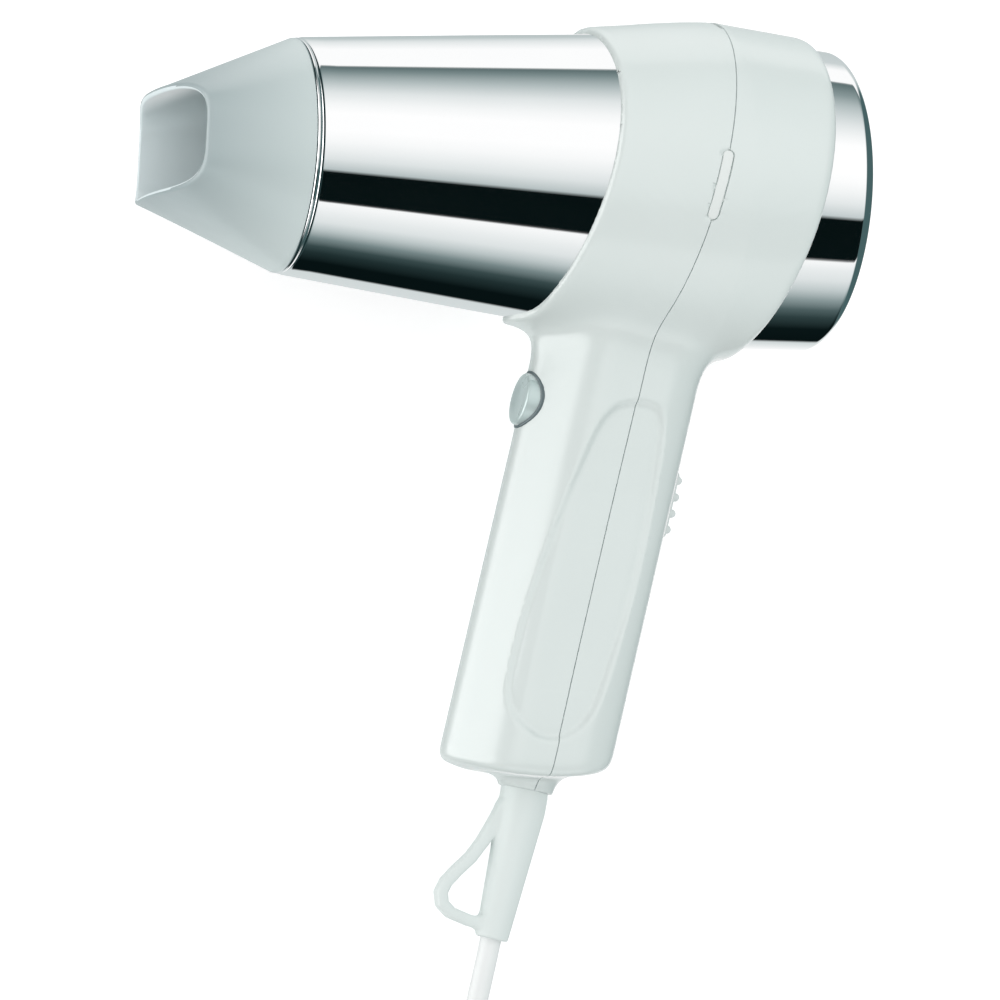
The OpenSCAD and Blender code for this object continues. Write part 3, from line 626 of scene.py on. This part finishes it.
def casing_field(x, y, z):
    """The casing's wall, with the screw bosses and the openings for all that goes through it."""
    outside = casing_outside(x, y, z)
    r = np.hypot(y, z)
    filled = np.where(x < 112, tube_r(np.minimum(x, TUBE_LEN)), cap_r_at(x))
    barrel = r - filled - BARREL_GAP
    shell = np.maximum(outside, -np.minimum(outside + SHELL_WALL, barrel))
    u, d = handle_coords(x, z)
    for screw_d in SCREW_DS:
        off, along = towards_rear(x, y, z, screw_d)
        boss = np.maximum(np.maximum(off - BOSS_R, np.abs(along) - BOSS_HALF_LEN), outside)
        shell = np.minimum(shell, boss)
        shell = np.maximum(shell, -np.maximum(off - SCREW_HOLE_R, SCREW_HOLE_U - along))
    off, along = towards_rear(x, y, z, BUTTON_D)
    hole = np.maximum(off - BUTTON_R - BUTTON_GAP, along - BUTTON_HOLE_U)
    shell = np.maximum(shell, -hole)
    window = round_box(d - SWITCH_D, y, 14.15, 6.15, 1.2)
    shell = np.maximum(shell, -np.maximum(window, SWITCH_HOLE_U - u))
    groove = soft_max(clip_field(x, y, z) - 0.32, -(outside + 0.8), 0.3)
    groove = np.maximum(groove, CLIP_INNER_Y - np.abs(y))
    return np.maximum(shell, -groove)


def make_casing():
    """Two halves, either side of a seam that runs down the handle."""
    side_y, low_z, high_z = 49.5, -177, 50
    gap = 0.13

    def front_half(x, y, z):
        u, _ = handle_coords(x, z)
        return np.maximum(casing_field(x, y, z), u - SEAM_U + gap)

    def rear_half(x, y, z):
        u, _ = handle_coords(x, z)
        return np.maximum(casing_field(x, y, z), SEAM_U + gap - u)

    for name, field, node, low_x, high_x in (
        ("casing_front", front_half, "front_shell", 50, 120),
        ("casing_rear", rear_half, "rear_shell", 74, 152),
    ):
        mesh = contour(field, (low_x, -side_y, low_z), (high_x, side_y, high_z), 0.8)
        add_mesh(name, *mesh, "white_plastic", "dryer", [node])


def make_clips():
    def field(x, y, z):
        outside = casing_outside(x, y, z)
        body = soft_max(clip_field(x, y, z), outside + 0.12, 0.35)
        return np.maximum(np.maximum(body, -(outside + 1.6)), CLIP_INNER_Y - np.abs(y))

    for name, low_y, high_y in (("seam_clip_left", -49, -44), ("seam_clip_right", 44, 49)):
        mesh = contour(field, (105, low_y, -13), (119, high_y, 9), 0.3)
        add_mesh(name, *mesh, "clip_white", "dryer", ["seam_clips"])


# ---------- barrel: nozzle, ring, tube and cap ----------


OUTLET_HALF_W, OUTLET_HALF_H, OUTLET_POWER = 38, 15.3, 4.2
NOZZLE_WALL = 1.8
SPIGOT_R = TUBE_MOUTH_R - 2.6
SPIGOT_END_X = 6.5


def make_nozzle():
    """The shell: from the spigot inside the rim, outside to the outlet's lip, and back inside."""
    around = 256
    turns = np.linspace(0, 2 * math.pi, around, endpoint=False)
    c, s = np.cos(turns), np.sin(turns)
    power = 2 / OUTLET_POWER

    def outlet(inset, forward):
        y = (OUTLET_HALF_W - inset) * np.sign(c) * np.abs(c) ** power
        z = (OUTLET_HALF_H - inset) * np.sign(s) * np.abs(s) ** power
        return np.column_stack([-NOZZLE_LEN - 1 + 0.0043 * y * y - forward, y, z])

    def circle(x, r):
        return np.column_stack([np.full(around, x), r * c, r * s])

    def wall(start, end, steps=28):
        return [start + (end - start) * (i / steps) for i in range(steps + 1)]

    lip = 0.9
    base_x = -1.3
    rings = [circle(SPIGOT_END_X, SPIGOT_R), circle(-0.75, SPIGOT_R)]
    rings += [circle(-0.75, TUBE_MOUTH_R - 0.7), circle(-0.9, TUBE_MOUTH_R - 0.4)]
    rings += wall(circle(base_x, TUBE_MOUTH_R - 0.3), outlet(0, -lip))
    for a in np.radians(np.arange(22.5, 179, 22.5)):
        rings.append(outlet(NOZZLE_WALL / 2 * (1 - math.cos(a)), lip * math.sin(a) - lip))
    rings += wall(outlet(NOZZLE_WALL, -lip), circle(base_x, SPIGOT_R - 2.2))
    rings.append(circle(SPIGOT_END_X, SPIGOT_R - 1.6))
    points, faces = rings_to_mesh(rings)
    faces = [f[::-1] for f in faces]
    add_mesh("nozzle_shell", points, faces, "nozzle_plastic", "nozzle", ["nozzle"], 40)


def make_front_ring():
    """The rim at the tube's mouth, with a rounded front edge."""
    inner_r, sleeve_r, end_x = TUBE_MOUTH_R - 2.5, TUBE_MOUTH_R - 1.3, 5.8
    profile = [(end_x, inner_r), (-0.5, inner_r)]
    profile += arc(-0.1, TUBE_MOUTH_R - 0.55, 0.4, 180, 60, 6)
    profile += [(0.25, TUBE_MOUTH_R - 0.35), (0.25, sleeve_r), (end_x, sleeve_r)]
    add_mesh("tube_rim", *lathe(profile), "chrome", "dryer", ["front_ring"], mirrored=True)


def make_front_tube():
    """The chromed cone, rolled in a little at its mouth."""
    start = 0.4
    profile = [(start, tube_r(start) - 1.1), (start + 0.1, tube_r(start) - 0.5)]
    profile += [(start + 0.45, tube_r(start) - 0.1), (start + 1.2, tube_r(start + 1.2))]
    profile += [(x, tube_r(x)) for x in np.linspace(6, TUBE_LEN, 24)]
    profile += [(x, tube_r(x) - TUBE_WALL) for x in (TUBE_LEN, 6.0)]
    add_mesh("tube_shell", *lathe(profile, 256), "chrome", "dryer", ["front_tube"])


def make_rear_cap():
    """The chromed cap, with a rounded edge and a step down to the inlet grille."""
    centre_x, centre_r = CAP_END_X - CAP_ROUND, CAP_R - CAP_ROUND
    wall = 1.2
    profile = [(x, cap_r_at(x)) for x in np.linspace(CAP_X, centre_x - 2, 10)]
    profile += arc(centre_x, centre_r, CAP_ROUND, 88, 0, 24)
    rim_r = INLET_R + 1.3
    profile += [(CAP_END_X, rim_r + 0.5), (CAP_END_X - 0.35, rim_r - 0.2)]
    profile += [(CAP_END_X - 1.5, INLET_R + 0.4)]
    profile += arc(centre_x, centre_r, CAP_ROUND - wall, 0, 88, 16)[1:]
    profile += [(CAP_X, cap_r_at(CAP_X) - wall)]
    add_mesh("cap_shell", *lathe(profile, 256), "chrome", "dryer", ["rear_cap"])


# ---------- controls ----------


def turned_on_handle(profile, sides=96):
    """A closed profile of (u, r) turned about the button's axis."""
    turns = np.linspace(0, 2 * math.pi, sides, endpoint=False)
    rings = [
        np.array([from_handle(u, r * math.cos(t), BUTTON_D + r * math.sin(t)) for t in turns])
        for u, r in profile
    ]
    return rings_to_mesh(rings)


def make_button():
    """The button, and a thin ring that follows the rounded front of the handle; the ring's dark
    grey is painted shadow of the gap round the button.
    """
    front = -HANDLE_DEPTH / 2

    def ring(x, y, z):
        u, d = handle_coords(x, z)
        off = np.hypot(d - BUTTON_D, y)
        wall = np.abs(off - BUTTON_R - 0.5) - 0.36
        proud = casing_outside(x, y, z) - 0.35
        return np.maximum(soft_max(wall, proud, 0.4), np.maximum(u + 17, front - 3 - u))

    x, _, z = from_handle(front + 4, 0, BUTTON_D)
    mesh = contour(ring, (x - 9, -9.5, z - 11), (x + 9, 9.5, z + 11), 0.25)
    # dark grey ring: painted shadow of the gap round the button
    add_mesh("button_ring", *mesh, "bezel_grey", "dryer", ["button_bezel"])
    face = front - 1.5
    edge = 0.7
    base, middle_r, dish, dish_r = front + 4.7, 0.05, 0.35, 6.0
    profile = [(base, middle_r), (base, BUTTON_R), (face + edge, BUTTON_R)]
    for a in np.radians((22.5, 45, 67.5, 90)):
        profile.append((face + edge - edge * math.sin(a), BUTTON_R - edge + edge * math.cos(a)))
    for r in (dish_r, 4.5, 3.0, 1.5, middle_r):
        profile.append((face + dish * (1 - (r / dish_r) ** 2), r))
    add_mesh("button_cap", *turned_on_handle(profile), "button_silver", "button", ["push_button"])


def make_slide_knob():
    """The ribbed knob on the back of the handle, crowned towards its middle."""
    plate_u = HANDLE_DEPTH / 2 - 3.15
    top_u = plate_u + 4.3
    half_len, half_width, rib_r = 9.5, 5.7, 1.2
    stem_len, stem_w = 5.0, 3.0

    def field(x, y, z):
        u, d = handle_coords(x, z)
        off_d = d - SWITCH_D
        block = round_box(off_d, y, half_len, half_width, 1.4)
        block = soft_max(block, np.maximum(u - top_u, plate_u + 1.7 - u), 0.8)
        pitch = half_len / 2
        nearest = (np.clip(np.floor(off_d / pitch), -2, 1) + 0.5) * pitch
        crown = 0.3 * (np.abs(nearest) < pitch)
        rib = np.hypot(u - top_u - crown, off_d - nearest) - rib_r
        rib = soft_max(rib, np.abs(y) - half_width + 0.1, 1.2)
        knob = soft_min(block, rib, 0.5)
        stem = np.maximum(np.abs(y) - stem_w / 2, np.abs(off_d) - stem_len / 2)
        stem = np.maximum(stem, np.abs(u - plate_u + 2) - 4)
        return np.minimum(knob, stem)

    x, _, z = from_handle(plate_u, 0, SWITCH_D)
    mesh = contour(field, (x - 10, -6.6, z - 12), (x + 9, 6.6, z + 12), 0.3)
    add_mesh("knob_shell", *mesh, "switch_white", "slider", ["slide_knob"])


# ---------- strain relief, cord and plug ----------

# The middle line of the hanging loop, as (u, d)
LOOP = [
    (-2.5, 181.5), (-4.3, 186.8), (-6.0, 192.0), (-8.4, 197.2), (-11.6, 201.8), (-13.8, 205.4),
    (-14.6, 208.6), (-13.5, 211.6), (-10.6, 213.5), (-5.0, 214.4), (1.0, 214.6)
]


RELIEF_TOP_R, RELIEF_NARROWING = 7.1, 2.5
LOOP_HALF_T, LOOP_HALF_W = 1.65, 2.5


def relief_field(x, y, z):
    """The tapered relief, with the flat band of the hanging loop."""
    u, d = handle_coords(x, z)
    off = np.hypot(u - SEAM_U, y)
    share = np.clip((d - RELIEF_D) / (RELIEF_END_D - RELIEF_D), 0, 1)
    radius = RELIEF_TOP_R - RELIEF_NARROWING * share
    cone = soft_max(off - radius, d - RELIEF_END_D, 1.2)
    cone = soft_max(cone, RELIEF_D + 0.1 - d, 0.8)
    strap = np.full(np.broadcast(x, y, z).shape, 1e9)
    for start, end in zip(LOOP, LOOP[1:]):
        strap = np.minimum(strap, to_line(u, d, start, end))
    strap = soft_max(strap - LOOP_HALF_T, np.abs(y) - LOOP_HALF_W, 1.8)
    return soft_min(cone, strap, 3.0)


def make_relief():
    mesh = contour(relief_field, (42, -9, -218), (84, 9, -164), 0.45)
    add_mesh("relief_body", *mesh, "relief_rubber", "dryer", ["strain_relief"])


# The cord's middle line in the row's frame, in metres: down from the relief, the coil, and the
# stretch to the plug
CORD_ROUTE = [
    (0.0116, -0.1276, 0.0094), (0.0112, -0.1300, 0.0089), (0.0098, -0.1380, 0.0073),
    (0.0078, -0.1490, 0.0052), (0.0060, -0.1600, 0.0038), (0.0045, -0.1720, 0.0034),
    (0.0033, -0.1840, 0.0036), (0.0025, -0.1940, 0.0038),
]
TAIL_ROUTE = [(-0.0480, -0.2425, 0.0096), (-0.0580, -0.2425, 0.0086), (-0.0660, -0.2425, 0.0082)]
COIL_CENTRE = (-0.040, -0.200)
COIL_RADII = (0.0425, 0.0363, 0.0301, 0.0239)
COIL_HEIGHTS = (0.0038, 0.0100)
COIL_TURNS = 8


def coil_points():
    """Eight turns side by side in two layers, and a quarter turn more to face the plug's way."""
    radii = list(COIL_RADII) + list(COIL_RADII)[::-1] + [COIL_RADII[0]]
    heights = [COIL_HEIGHTS[0]] * 4 + [COIL_HEIGHTS[1]] * 5
    out = []
    for degrees in range(0, COIL_TURNS * 360 + 91, 10):
        turn, within = divmod(degrees, 360)
        following = min(turn + 1, COIL_TURNS)
        ease = max(0.0, (within - 300) / 60)
        ease = (1 - math.cos(math.pi * ease)) / 2
        r = radii[turn] + (radii[following] - radii[turn]) * ease
        h = heights[turn] + (heights[following] - heights[turn]) * ease
        a = -math.radians(degrees)
        out.append((COIL_CENTRE[0] + r * math.cos(a), COIL_CENTRE[1] + r * math.sin(a), h))
    return out


def smooth_path(points, steps):
    """An open curve through the points."""
    p = [Vector(q) for q in points]
    out = []
    for i in range(len(p) - 1):
        near = p[max(i - 1, 0)], p[i], p[i + 1], p[min(i + 2, len(p) - 1)]
        out += [between_points(*near, k / steps) for k in range(steps)]
    return out + [p[-1]]


def make_cord():
    """The whole cord: down from the relief, round the coil and on to the plug."""
    path = smooth_path(CORD_ROUTE, 4) + [Vector(p) for p in coil_points() + TAIL_ROUTE]
    data = bpy.data.curves.new("cord", "CURVE")
    data.dimensions = "3D"
    line = data.splines.new("POLY")
    line.points.add(len(path) - 1)
    for point, spot in zip(line.points, path):
        point.co = (*spot, 1)
    line.use_smooth = True
    data.bevel_depth = CORD_R * MM
    data.bevel_resolution = 8
    data.use_fill_caps = True
    data.materials.append(finishes["cord_pvc"])
    made = add_object("cord", data)
    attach(made, "dryer")
    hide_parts("cord_tube", "cord_coil")


# ---------- floor and light ----------


def make_floor():
    """A pale floor, which glows a little so that the shadows on it stay faint."""
    data = bpy.data.meshes.new("floor")
    far = 6.0
    corners = [(-far, -far, 0), (far, -far, 0), (far, far, 0), (-far, far, 0)]
    data.from_pydata(corners, [], [(0, 1, 2, 3)])
    s = Shader("floor_paper")
    s.set(Base_Color=s.mix(s.noise(2), (0.60, 0.60, 0.60), (0.62, 0.62, 0.62)), Roughness=0.9)
    s.set(Specular_IOR_Level=0.0, Emission_Color=(1, 1, 1, 1), Emission_Strength=0.62)
    data.materials.append(s.material)
    add_object("floor", data)


# How bright the studio is round the barrel's axis: degrees from the camera's side towards +y, and
# a level. Only the bright metal mirrors it. The cap, whose reflections lean to the rear, has bands
# of its own: CAP_FROM_X is the x of the direction where they take over.
TUBE_BANDS = [
    (-180, 0.72), (-142, 0.70), (-138, 0.006), (-118, 0.006), (-103, 0.03), (-94, 0.07),
    (-84, 0.25), (-74, 0.57), (-65, 0.78), (-56, 0.86), (-45, 0.97), (-43.5, 0.006),
    (-14.5, 0.005), (-13.5, 0.52), (-3, 0.78), (5, 0.88), (14, 0.97), (24, 1.02), (41, 1.02),
    (50, 0.95), (62, 0.80), (75, 0.52), (87, 0.26), (94, 0.14), (95, 1.0), (122, 1.0), (140, 0.8),
    (152, 0.58), (180, 0.5),
]
CAP_BANDS = [
    (-180, 1.3), (-165, 1.0), (-142, 0.70), (-138, 0.006), (-118, 0.008), (-103, 0.05),
    (-94, 0.12), (-84, 0.32), (-74, 0.60), (-65, 0.78), (-56, 0.86), (-49, 0.97), (-47.5, 0.006),
    (-14.5, 0.005), (-13.5, 0.60), (-3, 0.82), (5, 0.92), (14, 1.0), (24, 1.04), (43, 1.02),
    (51, 0.93), (59, 0.82), (68, 0.68), (78, 0.52), (88, 0.32), (98, 0.20), (102.5, 0.16),
    (103.5, 1.0), (120, 1.0), (132, 0.65), (160, 0.6), (180, 1.3),
]
CAP_FROM_X = 0.30
# The studio towards its two ends, seen only by surfaces that face along the barrel: x of the
# direction, a level, and how much of it replaces the bands
STUDIO_ENDS = [
    (-1.0, 1.0, 1), (-0.84, 1.0, 1), (-0.74, 0.01, 1), (-0.38, 0.01, 1), (-0.30, 0.1, 0),
    (0.62, 0.1, 0), (0.70, 0.04, 1), (1.0, 0.04, 1),
]
ENDS_STRENGTH = 3.0
# The soft light on everything else: x of the direction and a level
STUDIO_FILL = [(-1.0, 1.08), (-0.05, 1.08), (0.3, 0.93), (1.0, 0.42)]
# The studio's faint tint: what a level is raised to for red, green and blue
TINT = (1.2, 1.0, 0.99)


def make_world():
    """The studio: the camera sees it white, bright metal sees its bands, and the rest its fill."""
    world = bpy.data.worlds.new("studio")
    bpy.context.scene.world = world
    world.use_nodes = True
    tree = world.node_tree
    tree.nodes.clear()

    def node(kind, **settings):
        made = tree.nodes.new(kind)
        for key, value in settings.items():
            setattr(made, key, value)
        return made

    def ramp_over(value, low, high, stops):
        """A ramp of greys over a value; stops hold the value and the grey."""
        share = node("ShaderNodeMapRange")
        tree.links.new(value, share.inputs["Value"])
        share.inputs["From Min"].default_value = low
        share.inputs["From Max"].default_value = high
        ramp = node("ShaderNodeValToRGB")
        tree.links.new(share.outputs[0], ramp.inputs[0])
        elements = ramp.color_ramp.elements
        for i, (at, level) in enumerate(stops):
            position = (at - low) / (high - low)
            stop = elements[i] if i < 2 else elements.new(position)
            stop.position = position
            stop.color = (*(level ** power for power in TINT), 1)
        return ramp.outputs["Color"]

    def mix_shader(factor, first, second):
        made = node("ShaderNodeMixShader")
        tree.links.new(factor, made.inputs[0])
        tree.links.new(first, made.inputs[1])
        tree.links.new(second, made.inputs[2])
        return made.outputs[0]

    def background(colour=None, strength=1.0):
        """Light of the given colour, or white."""
        made = node("ShaderNodeBackground")
        made.inputs["Color"].default_value = (1, 1, 1, 1)
        made.inputs["Strength"].default_value = strength
        if colour is not None:
            tree.links.new(colour, made.inputs["Color"])
        return made.outputs[0]

    def bands_round(angle, bands):
        stops = [(math.radians(degrees), level) for degrees, level in bands]
        return background(ramp_over(angle, -math.pi, math.pi, stops))

    eye = bpy.context.scene.camera.matrix_world.to_3x3() @ Vector((0, 0, 1))
    towards = Vector((0, eye.y, eye.z)).normalized()
    across = Vector((0, towards.z, -towards.y))
    coords = node("ShaderNodeTexCoord").outputs["Generated"]
    parts = []
    for axis in (across, towards, (1, 0, 0)):
        dot = node("ShaderNodeVectorMath", operation="DOT_PRODUCT")
        tree.links.new(coords, dot.inputs[0])
        dot.inputs[1].default_value = axis
        parts.append(dot.outputs["Value"])
    angle = node("ShaderNodeMath", operation="ARCTAN2")
    tree.links.new(parts[0], angle.inputs[0])
    tree.links.new(parts[1], angle.inputs[1])
    around = [bands_round(angle.outputs[0], bands) for bands in (TUBE_BANDS, CAP_BANDS)]
    is_cap = node("ShaderNodeMath", operation="GREATER_THAN")
    tree.links.new(parts[2], is_cap.inputs[0])
    is_cap.inputs[1].default_value = CAP_FROM_X
    round_axis = mix_shader(is_cap.outputs[0], *around)
    end_levels = ramp_over(parts[2], -1, 1, [(x, level) for x, level, _ in STUDIO_ENDS])
    ends = background(end_levels, ENDS_STRENGTH)
    share_of_ends = ramp_over(parts[2], -1, 1, [(x, share) for x, _, share in STUDIO_ENDS])
    mirrored = mix_shader(share_of_ends, round_axis, ends)
    fill = background(ramp_over(parts[2], -1, 1, STUDIO_FILL))
    ray = node("ShaderNodeLightPath")
    seen = mix_shader(ray.outputs["Is Glossy Ray"], fill, mirrored)
    seen = mix_shader(ray.outputs["Is Camera Ray"], seen, background())
    tree.links.new(seen, node("ShaderNodeOutputWorld").inputs["Surface"])


def make_key_light():
    """A soft, weak light from above and to the right."""
    spot, aim = Vector((0.7, 0.35, 1.1)), Vector((0, 0, 0.04))
    data = bpy.data.lights.new("key", "AREA")
    data.shape = "RECTANGLE"
    data.size = data.size_y = 0.8
    data.energy = 3.0
    made = add_object("key", data)
    made.location = spot
    made.rotation_euler = (aim - spot).to_track_quat("-Z", "Y").to_euler()


make_cord()
make_casing()
make_clips()
make_nozzle()
make_front_ring()
make_front_tube()
make_rear_cap()
make_button()
make_slide_knob()
make_relief()
make_floor()
make_world()
make_key_light()
bpy.context.scene.view_settings.view_transform = "Standard"
